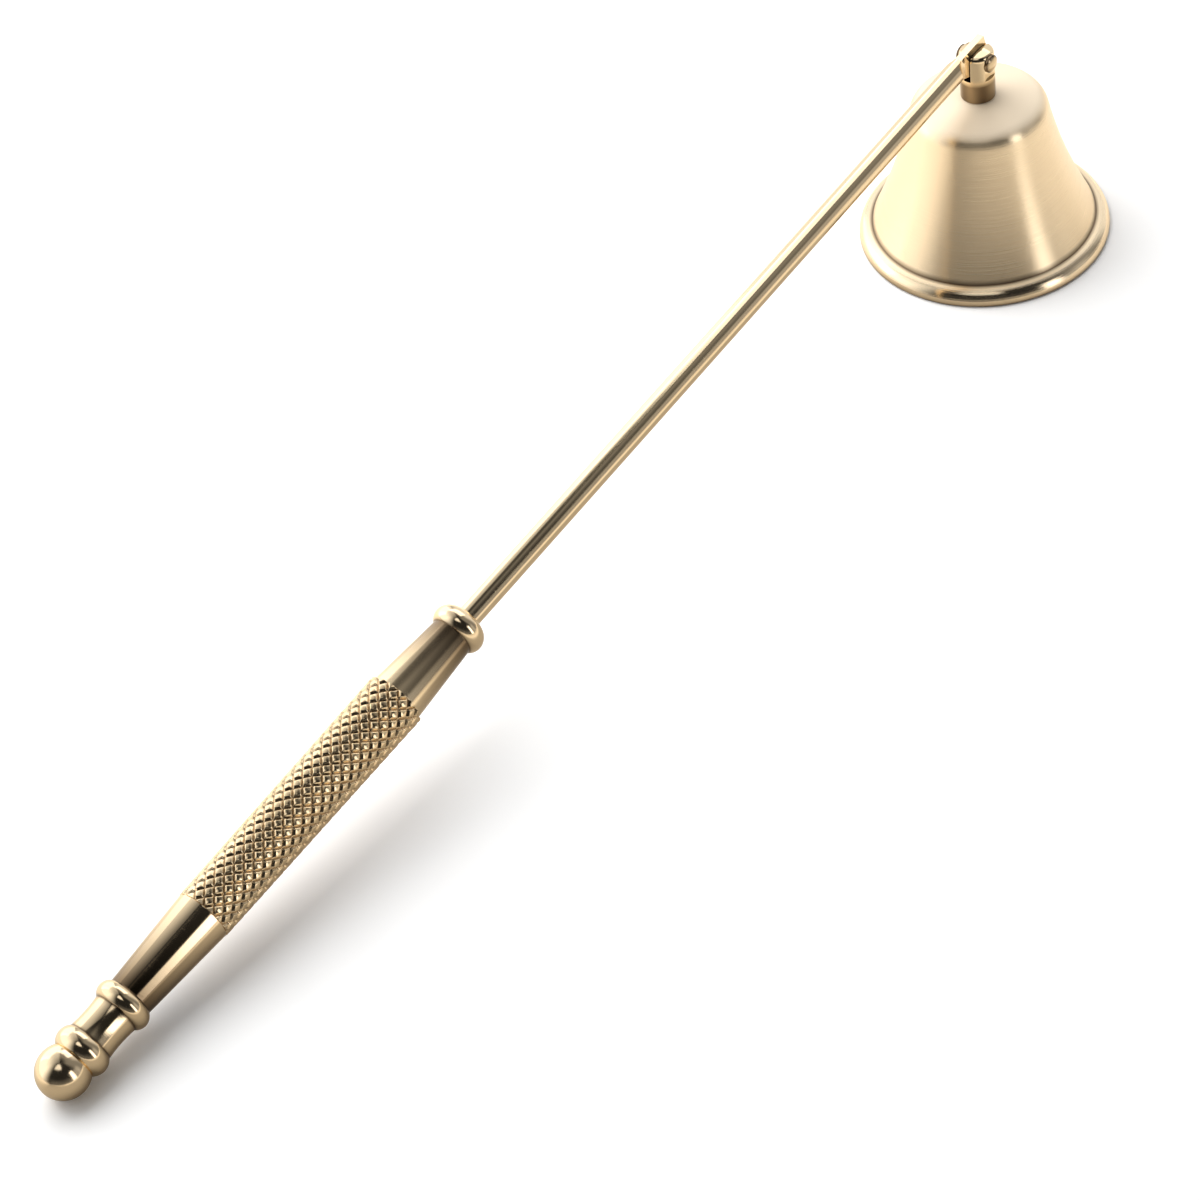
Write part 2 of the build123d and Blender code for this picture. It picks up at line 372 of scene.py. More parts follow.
def baked(thing):
    """Mesh of an object with its modifiers applied; the object itself goes."""
    graph = bpy.context.evaluated_depsgraph_get()
    mesh = bpy.data.meshes.new_from_object(thing.evaluated_get(graph))
    bpy.data.objects.remove(thing)
    return mesh


def milled(shell, added=(), removed=()):
    """Mesh of a shape joined with others and cut by others, crisp at its edges."""
    thing = loose(shell, "blank")
    tools = []
    for operation, shapes in (("UNION", added), ("DIFFERENCE", removed)):
        for shape in shapes:
            tools.append(loose(shape, "tool"))
            cut = thing.modifiers.new("cut", "BOOLEAN")
            cut.operation = operation
            cut.solver = "EXACT"
            cut.object = tools[-1]
    cleaned = bmesh.new()
    cleaned.from_mesh(baked(thing))
    for tool in tools:
        bpy.data.objects.remove(tool)
    bmesh.ops.remove_doubles(cleaned, verts=cleaned.verts, dist=merge_distance)
    bmesh.ops.dissolve_degenerate(cleaned, edges=cleaned.edges, dist=sliver_length)
    for face in cleaned.faces:
        face.smooth = True
    for edge in cleaned.edges:
        edge.smooth = edge.calc_face_angle(0.0) < crisp_angle
    thing = loose(cleaned, "milled")
    thing.modifiers.new("shading", "WEIGHTED_NORMAL").keep_sharp = True
    return baked(thing)


def piece(shape, node, place, material):
    """Finished piece that stands for a CAD node, with the place in its vertices."""
    mesh = shape
    if isinstance(shape, bmesh.types.BMesh):
        mesh = bpy.data.meshes.new(node + "_look")
        shape.to_mesh(mesh)
        shape.free()
        for polygon in mesh.polygons:
            polygon.use_smooth = True
    mesh.name = node + "_look"
    mesh.transform(Matrix.Scale(MM, 4) @ place)
    mesh.materials.clear()
    mesh.materials.append(material)
    thing = bpy.data.objects.new(node + "_look", mesh)
    bpy.context.scene.collection.objects.link(thing)
    body = next(name for name, nodes in frame["record"]["behaviour"]["bodies"].items() if node in nodes)
    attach(thing, body)
    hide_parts(node)
    return thing


# Node helpers

noise_range = (0.3, 0.7)


def fill(tree, node, inputs):
    """Node with its inputs linked or set directly."""
    for name, value in inputs.items():
        if isinstance(value, bpy.types.NodeSocket):
            tree.links.new(value, node.inputs[name])
        else:
            node.inputs[name].default_value = value
    return node


def make(tree, kind, inputs=None, **settings):
    """New node with its settings and inputs."""
    node = tree.nodes.new(kind)
    for name, value in settings.items():
        setattr(node, name, value)
    return fill(tree, node, inputs or {})


def sums(tree, operation, *values):
    """Output of a math node."""
    return make(tree, "ShaderNodeMath", dict(enumerate(values)), operation=operation).outputs[0]


def ranged(tree, value, low, high, start, end, smooth=True):
    """Value brought from one range to another."""
    kind = "SMOOTHSTEP" if smooth else "LINEAR"
    inputs = {"Value": value, "From Min": low, "From Max": high, "To Min": start, "To Max": end}
    return make(tree, "ShaderNodeMapRange", inputs, interpolation_type=kind).outputs["Result"]


def blended(tree, factor, start, end):
    """Colour between two others, each a socket or three shares."""
    near, far = (
        colour if isinstance(colour, bpy.types.NodeSocket) else (*colour, 1) for colour in (start, end)
    )
    inputs = {"Factor": factor, "A": near, "B": far}
    return make(tree, "ShaderNodeMix", inputs, data_type="RGBA").outputs["Result"]


def new_group(name, kind, inputs, outputs):
    """Node group with named sockets, and its input and output nodes."""
    tree = bpy.data.node_groups.new(name, kind)
    for side, sockets in (("INPUT", inputs), ("OUTPUT", outputs)):
        for label, socket in sockets.items():
            tree.interface.new_socket(label, in_out=side, socket_type="NodeSocket" + socket)
    return tree, tree.nodes.new("NodeGroupInput").outputs, tree.nodes.new("NodeGroupOutput").inputs


def tool_lines():
    """Group: fine lines left by turning and brushing, from the distance across them."""
    tree, given, result = new_group(
        "tool lines", "ShaderNodeTree",
        {"Place": "Vector", "Across": "Float", "Density": "Float"}, {"Lines": "Float", "Bands": "Float"},
    )
    place = make(tree, "ShaderNodeSeparateXYZ", {"Vector": given["Place"]}).outputs
    lines = []
    for slow, share, detail in ((25.0, 1.0, 3.0), (12.0, 0.06, 2.0)):
        across = sums(tree, "MULTIPLY", sums(tree, "MULTIPLY", given["Across"], given["Density"]), share)
        spot = make(tree, "ShaderNodeCombineXYZ", {
            "X": sums(tree, "MULTIPLY", place["X"], slow),
            "Y": sums(tree, "MULTIPLY", place["Y"], slow),
            "Z": across,
        }).outputs[0]
        noise = make(tree, "ShaderNodeTexNoise", {"Vector": spot, "Scale": 1.0, "Detail": detail})
        lines.append(ranged(tree, noise.outputs["Fac"], *noise_range, 0.0, 1.0))
    tree.links.new(lines[0], result["Lines"])
    tree.links.new(lines[1], result["Bands"])
    return tree


def handling_marks():
    """Group: faint finger marks, cloudy tarnish and hairline scratches from handling."""
    tree, given, result = new_group(
        "handling marks", "ShaderNodeTree", {"Place": "Vector", "Size": "Float"},
        {"Smudge": "Float", "Cloud": "Float", "Hairline": "Float"},
    )
    smudge_range, hairline_range = (0.42, 0.72), (0.68, 0.76)
    cloud_scale, hairline_scale = 0.35, 14.0
    scale = sums(tree, "DIVIDE", 1.0, given["Size"])
    smudge = make(tree, "ShaderNodeTexNoise", {"Vector": given["Place"], "Scale": scale, "Detail": 4.0})
    tree.links.new(ranged(tree, smudge.outputs["Fac"], *smudge_range, 0.0, 1.0), result["Smudge"])
    wide = sums(tree, "MULTIPLY", scale, cloud_scale)
    cloud = make(tree, "ShaderNodeTexNoise", {"Vector": given["Place"], "Scale": wide, "Detail": 2.0})
    tree.links.new(ranged(tree, cloud.outputs["Fac"], *noise_range, 0.0, 1.0), result["Cloud"])
    bent = make(tree, "ShaderNodeMapping", {
        "Vector": given["Place"], "Rotation": (0.6, 0.9, 0.4), "Scale": (1.0, 0.05, 1.0)
    }).outputs[0]
    fine = sums(tree, "MULTIPLY", scale, hairline_scale)
    hair = make(tree, "ShaderNodeTexNoise", {"Vector": bent, "Scale": fine, "Detail": 1.0})
    tree.links.new(ranged(tree, hair.outputs["Fac"], *hairline_range, 0.0, 1.0), result["Hairline"])
    return tree


lines_group = tool_lines()
marks_group = handling_marks()
# Near-black brown of painted shade: in creases, at the bell's lip foot and as the fork's painted dark
# reflection
painted_shade_tint = (0.10, 0.062, 0.034)
painted_shade_share = 0.9
crown_tint = (0.95, 0.805, 0.61)
# Painted shade in the knurl's grooves
groove_shade_tint = (0.36, 0.22, 0.11)
groove_shade_share = 0.65


class Finish:
    """Metal finish in progress: its tree, shading node and the shared masks."""

    def __init__(self, name, tint, shade, mark_size, density):
        self.material = bpy.data.materials.new(name + "_look")
        self.material.use_nodes = True
        self.tree = tree = self.material.node_tree
        self.shading = tree.nodes["Principled BSDF"]
        self.place = make(tree, "ShaderNodeTexCoord").outputs["Object"]
        self.turned = make(tree, "ShaderNodeUVMap", uv_map="turned").outputs[0]
        across = make(tree, "ShaderNodeSeparateXYZ", {"Vector": self.turned}).outputs["Y"]
        self.lines = self.group(lines_group, Place=self.place, Across=across, Density=density)
        self.marks = self.group(marks_group, Place=self.place, Size=mark_size)
        clouded = blended(tree, self.marks["Cloud"], tint, shade)
        # Painted shade: creases darkened towards the near-black brown
        painted_shade = make(tree, "ShaderNodeAttribute", attribute_name="painted_shade").outputs["Fac"]
        self.colour = blended(tree, sums(tree, "MULTIPLY", painted_shade, painted_shade_share), clouded, painted_shade_tint)
        self.shading.inputs["Metallic"].default_value = 1.0

    def group(self, group, **inputs):
        """Outputs of a shared group with its inputs set."""
        node = self.tree.nodes.new("ShaderNodeGroup")
        node.node_tree = group
        return fill(self.tree, node, inputs).outputs

    def spread(self, mask, low, high):
        """Roughness that follows a mask from low to high."""
        return ranged(self.tree, mask, 0.0, 1.0, low, high, False)

    def relief(self, height, strength, distance_mm):
        """Fine relief from a height."""
        bump = make(self.tree, "ShaderNodeBump", {
            "Height": height, "Strength": strength, "Distance": distance_mm * MM
        })
        self.tree.links.new(bump.outputs[0], self.shading.inputs["Normal"])

    def done(self, roughness):
        """Material with its colour and roughness linked."""
        self.tree.links.new(self.colour, self.shading.inputs["Base Color"])
        self.tree.links.new(roughness, self.shading.inputs["Roughness"])
        return self.material

    def brushed_along(self, amount):
        """Highlights stretched across the turning lines."""
        tangent = make(self.tree, "ShaderNodeTangent", direction_type="UV_MAP", uv_map="turned")
        self.tree.links.new(tangent.outputs[0], self.shading.inputs["Tangent"])
        self.shading.inputs["Anisotropic"].default_value = amount
        self.shading.inputs["Anisotropic Rotation"].default_value = 0.25


def satin_gold():
    """Spun and brushed bell with a matte crown, its lip polished brighter and darkened with painted shade
    at its foot.
    """
    finish = Finish("satin_gold", (0.93, 0.76, 0.53), (0.90, 0.73, 0.50), 0.016, 26.0)
    skirt_from, skirt_full = lip_height - 0.5, lip_height - 0.2
    crown_from, crown_full = shoulder_place.y - 0.6, shoulder_place.y + 0.5
    foot_shade_full, foot_shade_top, foot_shade_share = 0.2, 1.0, 0.6
    lip_roughness, skirt_roughness, crown_roughness = 0.16, 0.30, 0.57
    skirt_matte, crown_matte = 0.08, 0.8
    tree = finish.tree
    height = make(tree, "ShaderNodeSeparateXYZ", {"Vector": finish.place}).outputs["Z"]
    skirt = ranged(tree, height, skirt_from * MM, skirt_full * MM, 0.0, 1.0)
    crown = ranged(tree, height, crown_from * MM, crown_full * MM, 0.0, 1.0)
    # Painted shade at the lip's foot, darkest at the bottom
    foot_shade = ranged(tree, height, foot_shade_full * MM, foot_shade_top * MM, foot_shade_share, 0.0)
    foot_shaded = blended(tree, foot_shade, finish.colour, painted_shade_tint)
    finish.colour = blended(tree, crown, foot_shaded, crown_tint)
    matte_skirt = sums(tree, "MULTIPLY", skirt, skirt_matte)
    matte = sums(tree, "MULTIPLY_ADD", crown, crown_matte - skirt_matte, matte_skirt)
    tree.links.new(sums(tree, "SUBTRACT", 1.0, matte), finish.shading.inputs["Metallic"])
    lip_and_skirt = finish.spread(skirt, lip_roughness, skirt_roughness)
    base = sums(tree, "MULTIPLY_ADD", crown, crown_roughness - skirt_roughness, lip_and_skirt)
    lined = finish.spread(finish.lines["Lines"], -0.035, 0.035)
    smudged = finish.spread(finish.marks["Smudge"], 0.0, 0.035)
    finish.relief(sums(tree, "ADD", finish.lines["Lines"], finish.lines["Bands"]), 0.12, 0.02)
    finish.brushed_along(0.85)
    return finish.done(sums(tree, "ADD", sums(tree, "ADD", base, lined), smudged))


def polished_gold():
    """Lathe-polished stem, fork and ferrules with hairlines and faint finger marks."""
    finish = Finish("polished_gold", (0.88, 0.70, 0.46), (0.84, 0.66, 0.42), 0.009, 14.0)
    tree = finish.tree
    lined = finish.spread(finish.lines["Lines"], 0.085, 0.125)
    smudged = finish.spread(finish.marks["Smudge"], 0.0, 0.05)
    scratched = finish.spread(finish.marks["Hairline"], 0.0, 0.08)
    finish.relief(finish.lines["Lines"], 0.05, 0.01)
    finish.brushed_along(0.25)
    return finish.done(sums(tree, "ADD", sums(tree, "ADD", lined, smudged), scratched))


def knurled_gold():
    """Cut diamonds: bright lands, groove floors darkened with painted shade."""
    finish = Finish("knurled_gold", (0.88, 0.69, 0.44), (0.84, 0.64, 0.39), 0.006, 14.0)
    groove_top, grain_scale = 0.6, 5200.0
    tree = finish.tree
    # Painted shade in the grooves, deepest at the groove floors
    rise = make(tree, "ShaderNodeAttribute", attribute_name="rise").outputs["Fac"]
    depth = ranged(tree, rise, 0.0, groove_top, 1.0, 0.0)
    dark = sums(tree, "MULTIPLY", depth, groove_shade_share)
    finish.colour = blended(tree, dark, finish.colour, groove_shade_tint)
    grain = make(tree, "ShaderNodeTexNoise", {"Vector": finish.place, "Scale": grain_scale, "Detail": 2.0})
    grainy = ranged(tree, grain.outputs["Fac"], *noise_range, 0.15, 0.24, False)
    smudged = finish.spread(finish.marks["Smudge"], 0.0, 0.05)
    finish.relief(grain.outputs["Fac"], 0.08, 0.02)
    return finish.done(sums(tree, "ADD", grainy, smudged))


def screw_steel():
    """Zinc-plated steel with a fine grain."""
    finish = Finish("screw_steel", (0.62, 0.61, 0.58), (0.50, 0.50, 0.49), 0.004, 20.0)
    lined = finish.spread(finish.lines["Lines"], 0.26, 0.36)
    smudged = finish.spread(finish.marks["Smudge"], 0.0, 0.1)
    finish.relief(finish.lines["Lines"], 0.1, 0.02)
    return finish.done(sums(finish.tree, "ADD", lined, smudged))


# Diamond knurl, with its merging distance, its cut's tolerance and the flatness of an end face

diamond_merge = 0.002
end_tolerance = 0.01
end_flatness = 0.99


def diamond_tile():
    """One diamond of unit size: a flat land, sloping sides and a rounded groove floor."""
    # Rise at each share of the way from the middle to the groove
    rises = {1.0: 0.0, 0.92: 0.09, 0.6: 0.93, 0.5: 1.0}
    stops = [-share for share in rises] + list(reversed(rises))
    tile = bmesh.new()
    grid = []
    for b in stops:
        spots = [((a - b) / 2, (a + b) / 2, rises[max(abs(a), abs(b))]) for a in stops]
        grid.append([tile.verts.new(spot) for spot in spots])
    for near, far in zip(grid, grid[1:]):
        for column in range(len(stops) - 1):
            tile.faces.new((near[column], near[column + 1], far[column + 1], far[column]))
    bmesh.ops.recalc_face_normals(tile, faces=tile.faces)
    return loose(tile, "diamond")


def knurl_tree():
    """Geometry nodes: rows of diamonds laid out flat, then wrapped round a tapered sleeve."""
    tree, given, result = new_group("diamond knurl", "GeometryNodeTree", {
        "Diamond": "Object", "Count Around": "Int", "Count Along": "Int", "Length": "Float",
        "Front Radius": "Float", "Rear Radius": "Float", "Depth": "Float", "Material": "Material",
    }, {"Geometry": "Geometry"})
    around, rows, length = given["Count Around"], given["Count Along"], given["Length"]
    pitch = sums(tree, "DIVIDE", tau, around)
    spacing = sums(tree, "DIVIDE", length, rows)
    width = sums(tree, "SUBTRACT", tau, pitch)
    whole = make(tree, "GeometryNodeMeshGrid", {
        "Size X": width, "Size Y": length, "Vertices X": around, "Vertices Y": sums(tree, "ADD", rows, 1.0)
    }).outputs["Mesh"]
    between = make(tree, "GeometryNodeMeshGrid", {
        "Size X": width, "Size Y": sums(tree, "SUBTRACT", length, spacing), "Vertices X": around,
        "Vertices Y": rows,
    }).outputs["Mesh"]
    step = make(tree, "ShaderNodeCombineXYZ", {"X": sums(tree, "MULTIPLY", pitch, 0.5)}).outputs[0]
    between = make(tree, "GeometryNodeTransform", {"Geometry": between, "Translation": step}).outputs[0]
    points = tree.nodes.new("GeometryNodeJoinGeometry")
    tree.links.new(whole, points.inputs[0])
    tree.links.new(between, points.inputs[0])
    diamond = make(tree, "GeometryNodeObjectInfo", {"Object": given["Diamond"]}).outputs["Geometry"]
    size = make(tree, "ShaderNodeCombineXYZ", {
        "X": sums(tree, "MULTIPLY", pitch, 0.5),
        "Y": sums(tree, "MULTIPLY", spacing, 0.5),
        "Z": given["Depth"],
    }).outputs[0]
    copies = make(tree, "GeometryNodeInstanceOnPoints", {
        "Points": points.outputs[0], "Instance": diamond, "Scale": size
    }).outputs[0]
    flat = make(tree, "GeometryNodeRealizeInstances", {"Geometry": copies}).outputs[0]
    spot = make(tree, "ShaderNodeSeparateXYZ", {
        "Vector": make(tree, "GeometryNodeInputPosition").outputs[0]
    }).outputs
    marked = make(tree, "GeometryNodeStoreNamedAttribute", {
        "Geometry": flat, "Name": "rise", "Value": sums(tree, "DIVIDE", spot["Z"], given["Depth"])
    }, data_type="FLOAT", domain="POINT").outputs[0]
    height = sums(tree, "ADD", spot["Y"], sums(tree, "MULTIPLY", length, 0.5))
    share = sums(tree, "DIVIDE", height, length)
    taper = sums(tree, "SUBTRACT", given["Rear Radius"], given["Front Radius"])
    land = sums(tree, "MULTIPLY_ADD", taper, share, given["Front Radius"])
    radius = sums(tree, "ADD", sums(tree, "SUBTRACT", land, given["Depth"]), spot["Z"])
    wrapped = make(tree, "ShaderNodeCombineXYZ", {
        "X": sums(tree, "MULTIPLY", radius, sums(tree, "COSINE", spot["X"])),
        "Y": sums(tree, "MULTIPLY", radius, sums(tree, "SINE", spot["X"])),
        "Z": height,
    }).outputs[0]
    sleeve = make(tree, "GeometryNodeSetPosition", {"Geometry": marked, "Position": wrapped}).outputs[0]
    sleeve = make(tree, "GeometryNodeMergeByDistance", {
        "Geometry": sleeve, "Distance": diamond_merge
    }).outputs[0]
    sleeve = make(tree, "GeometryNodeSetMaterial", {
        "Geometry": sleeve, "Material": given["Material"]
    }).outputs[0]
    tree.links.new(sleeve, result["Geometry"])
    return tree


def knurled_sleeve(material):
    """Sleeve of diamonds, cut square at both ends and bored for the stem."""
    diamond = diamond_tile()
    thing = loose(bmesh.new(), "sleeve")
    knurl = thing.modifiers.new("knurl", "NODES")
    knurl.node_group = knurl_tree()
    values = {
        "Diamond": diamond, "Count Around": diamonds_around, "Count Along": diamonds_along,
        "Length": grip_length, "Front Radius": grip_front_radius, "Rear Radius": grip_rear_radius,
        "Depth": knurl_depth, "Material": material,
    }
    for socket in knurl.node_group.interface.items_tree:
        if socket.in_out == "INPUT":
            knurl[socket.identifier] = values[socket.name]
    mesh = baked(thing)
    bpy.data.objects.remove(diamond)
    sleeve = bmesh.new()
    sleeve.from_mesh(mesh)
    inner = []
    for height, side in ((0.0, -1), (grip_length, 1)):
        bmesh.ops.bisect_plane(
            sleeve, geom=[*sleeve.verts, *sleeve.edges, *sleeve.faces], plane_co=(0, 0, height),
            plane_no=(0, 0, side), clear_outer=True, dist=end_tolerance / 100,
        )
        ends = [
            edge for edge in sleeve.edges
            if edge.is_boundary and all(abs(vert.co.z - height) < end_tolerance for vert in edge.verts)
        ]
        rim = bmesh.ops.extrude_edge_only(sleeve, edges=ends)["geom"]
        for vert in rim:
            if isinstance(vert, bmesh.types.BMVert):
                vert.co.xy = vert.co.xy.normalized() * stem_bore_radius
        inner += [edge for edge in rim if isinstance(edge, bmesh.types.BMEdge)]
    bmesh.ops.bridge_loops(sleeve, edges=inner)
    bmesh.ops.recalc_face_normals(sleeve, faces=sleeve.faces)
    for edge in sleeve.edges:
        edge.smooth = all(abs(face.normal.z) < end_flatness for face in edge.link_faces)
    bpy.data.meshes.remove(mesh)
    return sleeve


# Pieces of the bell

def bell_profile():
    """Lip, skirt, shoulder, crown and the inside, as a ring of points."""
    mouth = Vector((mouth_radius, 0))
    nose = Vector((mouth_radius, lip_height - lip_fall))
    foot = Vector((mouth_radius - lip_width, lip_height))
    lean = (foot.x - shoulder_place.x) / (shoulder_place.y - foot.y)
    across = bell_wall / cos(atan(lean))
    inner_corner = Vector((shoulder_place.x + lean * bell_wall - across, shoulder_place.y - bell_wall))
    inner_mouth = Vector((foot.x + lean * lip_height - across, 0))
    rim_start = inner_mouth + Vector((rim_land, 0))
    seat = Vector((seat_radius, crown_height))
    hole = Vector((screw_hole_radius, crown_height))
    under = Vector((0, bell_wall))
    return profile(
        bowed(rim_start, mouth), lip_foot_radius,
        bowed(mouth, nose), lip_nose_radius,
        bowed(nose, foot), crease_radius,
        bowed(foot, shoulder_place, skirt_hollow, 24), shoulder_radius,
        bowed(shoulder_place, seat, -crown_dome), seat_blend_radius,
        bowed(seat, hole), bowed(hole, hole - under), bowed(hole - under, seat - under),
        bowed(seat - under, inner_corner, crown_dome), inner_shoulder_radius,
        bowed(inner_corner, inner_mouth, -skirt_hollow, 24), crease_radius,
        bowed(inner_mouth, rim_start),
    )


def fork_mesh():
    """Slotted round post with a domed end, with a streaked dark reflection painted below its slot."""
    dark_reflection_top = slot_floor - dark_reflection_gap
    dark_reflection_full = dark_reflection_top - dark_reflection_fade
    rim = (fork_radius, fork_top - fork_dome_height)
    post = turned(profile(
        bowed((0, crown_height), (fork_radius, crown_height)), fork_foot_radius,
        bowed((fork_radius, crown_height), (fork_radius, dark_reflection_full)),
        bowed((fork_radius, dark_reflection_full), (fork_radius, dark_reflection_top)),
        bowed((fork_radius, dark_reflection_top), rim), fork_rim_radius,
        leaving((0, fork_top), rim, (1, 0))[::-1],
    ), 64, milled_hold)
    far = 2 * fork_radius
    slot = block((-far, -slot_width / 2, slot_floor), (far, slot_width / 2, fork_top + far))
    cheeks = [
        block((-far, low, slot_floor), (far, high, fork_top + far))
        for low, high in ((-far, -cheek_reach), (cheek_reach, far))
    ]
    eye_place = Matrix.Translation((0, 0, pin_height)) @ Matrix.Rotation(pi / 2, 4, "X")
    eye = moved(rod(rivet_radius + pin_room, -far, far), eye_place)
    thread_end = crown_height + screw_grip_length + screw_hole_room
    thread = rod(screw_radius + pin_room, crown_height - far, thread_end)
    fork = milled(post, removed=[slot, *cheeks, eye, thread])
    # Painted dark reflection: darkest below the slot, in streaks around the post
    for vert, depth in zip(fork.vertices, fork.attributes["painted_shade"].data):
        streak = 1 - sin(dark_reflection_streaks * atan2(vert.co.y, vert.co.x))
        below = min(1.0, max(0.0, (dark_reflection_top - vert.co.z) / dark_reflection_fade))
        depth.value = below * (1 - dark_reflection_streak_depth * streak)
    return fork


def screw_mesh():
    """Slotted pan-head screw."""
    seat = crown_height - bell_wall - washer_thickness
    low = seat - screw_head_height
    rim = (screw_head_radius, low + screw_head_bulge)
    tip = crown_height + screw_grip_length
    blank = turned(profile(
        leaving((0, low), rim, (1, 0)), screw_head_edge,
        bowed(rim, (screw_head_radius, seat)), bowed((screw_head_radius, seat), (screw_radius, seat)),
        bowed((screw_radius, seat), (screw_radius, tip)), bowed((screw_radius, tip), (0, tip)),
    ), 64, milled_hold)
    far = 2 * screw_head_radius
    half = screw_slot_width / 2
    slot = block((-far, -half, low - far), (far, half, low + screw_slot_depth))
    return milled(blank, removed=[slot])


def rivet_profile():
    """Pin with a domed head at both ends, from tip to tip."""
    rim, tip = cheek_reach + rivet_head_rim, cheek_reach + rivet_head_height
    half = profile(
        leaving((0, tip), (rivet_head_radius, rim), (1, 0)), rivet_head_edge,
        bowed((rivet_head_radius, rim), (rivet_head_radius, cheek_reach)),
        bowed((rivet_head_radius, cheek_reach), (rivet_radius, cheek_reach)),
        bowed((rivet_radius, cheek_reach), (rivet_radius, 0)),
    )
    other = [Vector((point.x, -point.y)) for point in half[-2::-1]]
    return half + other


def washer_profile():
    """Flat washer with eased edges."""
    top = crown_height - bell_wall
    low = top - washer_thickness
    middle = Vector(((washer_radius + screw_hole_radius) / 2, low))
    return profile(
        bowed(middle, (washer_radius, low)), washer_edge,
        bowed((washer_radius, low), (washer_radius, top)), washer_top_edge,
        bowed((washer_radius, top), (screw_hole_radius, top)), washer_top_edge,
        bowed((screw_hole_radius, top), (screw_hole_radius, low)), washer_edge,
        bowed((screw_hole_radius, low), middle),
    )


# Pieces of the handle

def stem_mesh():
    """Round rod milled to a flat tongue, its eye below the axis."""
    run_out_steps, eye_steps = 10, 48
    half = tongue_thickness / 2
    far = 2 * stem_radius
    flat_end = tongue_length - tongue_shoulder_radius
    clear = tongue_length + stem_radius
    bar = rod(stem_radius, flat_end, clear, 2 * clear, tail_end, segments=96)
    run_out = [
        (half + tongue_shoulder_radius * (1 - cos(turn)), flat_end + tongue_shoulder_radius * sin(turn))
        for turn in (pi / 2 * step / run_out_steps for step in range(run_out_steps + 1))
    ]
    flank = [(half, flat_end - far), *run_out, (far, tongue_length), (far, flat_end - far)]
    cheeks = [moved(plate(flank, far), Matrix.Rotation(angle, 4, "Z")) for angle in (pi / 2, -pi / 2)]
    turns = [tau * step / eye_steps for step in range(eye_steps)]
    outline = [(-stem_lift + eye_radius * cos(turn), eye_radius * sin(turn)) for turn in turns]
    outline += [(tongue_edge, -tongue_end), (tongue_edge, tongue_length), (-tongue_edge, tongue_length)]
    tongue = plate([outline[index] for index in convex_hull_2d(outline)], half)
    eye_place = Matrix.Translation((-stem_lift, 0, 0)) @ Matrix.Rotation(pi / 2, 4, "X")
    eye = moved(rod(eye_bore_radius, -far, far), eye_place)
    trimmed = milled(bar, removed=cheeks)
    blank = bmesh.new()
    blank.from_mesh(trimmed)
    return milled(blank, added=[tongue], removed=[eye])


def front_profile():
    """Tapered collar with a rounded bead, as a ring of points."""
    narrow = (front_taper_end_radius, front_bead_start)
    wide = (front_taper_start_radius, grip_front)
    peak = (front_bead_radius, front_bead_peak)
    tip = (stem_bore_radius + front_nose_lip, nose_tip)
    start = (stem_bore_radius, (nose_tip + grip_front) / 2)
    return profile(
        bowed(start, (stem_bore_radius, nose_tip)),
        bowed((stem_bore_radius, nose_tip), tip), front_nose_edge,
        leaving(peak, tip, (0, -1))[::-1], leaving(peak, narrow, (0, 1)), ferrule_edge,
        bowed(narrow, wide), ferrule_edge, bowed(wide, (stem_bore_radius, grip_front)),
        bowed((stem_bore_radius, grip_front), start),
    )


def rear_profile():
    """Long taper, bead, waisted neck and end bead, from one blind bore to the other."""
    taper_end = (rear_taper_end_radius, grip_rear)
    taper_start = (rear_taper_start_radius, rear_taper_start)
    neck_start = (neck_end_radius, neck_front)
    neck_end = (neck_end_radius, neck_rear)
    end_face = (ball_seat_radius, ball_seat)
    tail = tail_end + bore_room
    stud = ball_seat - stud_length - bore_room
    return profile(
        bowed((0, tail), (stem_bore_radius, tail)),
        bowed((stem_bore_radius, tail), (stem_bore_radius, grip_rear)),
        bowed((stem_bore_radius, grip_rear), taper_end), ferrule_edge,
        bowed(taper_end, taper_start), bead_crease_radius,
        through(taper_start, (mid_bead_radius, (neck_front + rear_taper_start) / 2), neck_start),
        bead_crease_radius,
        through(neck_start, (neck_waist_radius, (neck_rear + neck_front) / 2), neck_end),
        bead_crease_radius,
        through(neck_end, (end_bead_radius, (ball_seat + neck_rear) / 2), end_face),
        bowed(end_face, (stud_bore_radius, ball_seat)),
        bowed((stud_bore_radius, ball_seat), (stud_bore_radius, stud)),
        bowed((stud_bore_radius, stud), (0, stud)),
    )


def ball_profile():
    """Ball with its seat and stud."""
    tip = ball_seat - stud_length
    return profile(
        bowed((0, tip), (stud_radius, tip)), bowed((stud_radius, tip), (stud_radius, ball_seat)),
        bowed((stud_radius, ball_seat), (ball_seat_radius, ball_seat)),
        through((ball_seat_radius, ball_seat), (ball_radius, reach), (0, reach + ball_radius), 48),
    )


satin, polished, knurled, steel = satin_gold(), polished_gold(), knurled_gold(), screw_steel()
piece(turned(bell_profile(), 192), "bell_cup", bell_place, satin)
piece(fork_mesh(), "hinge_fork", bell_place, polished)
piece(screw_mesh(), "fork_screw", bell_place, steel)
piece(turned(washer_profile(), 96), "fork_washer", bell_place, steel)
piece(turned(rivet_profile(), 64), "hinge_rivet", pin_place, polished)
piece(stem_mesh(), "stem_rod", stem_place, polished)
piece(turned(front_profile()), "front_ferrule", stem_place, polished)
grip_place = stem_place @ Matrix.Translation((0, 0, grip_front))
piece(knurled_sleeve(knurled), "knurled_grip", grip_place, knurled)
piece(turned(rear_profile()), "rear_ferrule", stem_place, polished)
piece(turned(ball_profile()), "ball_finial", stem_place, polished)

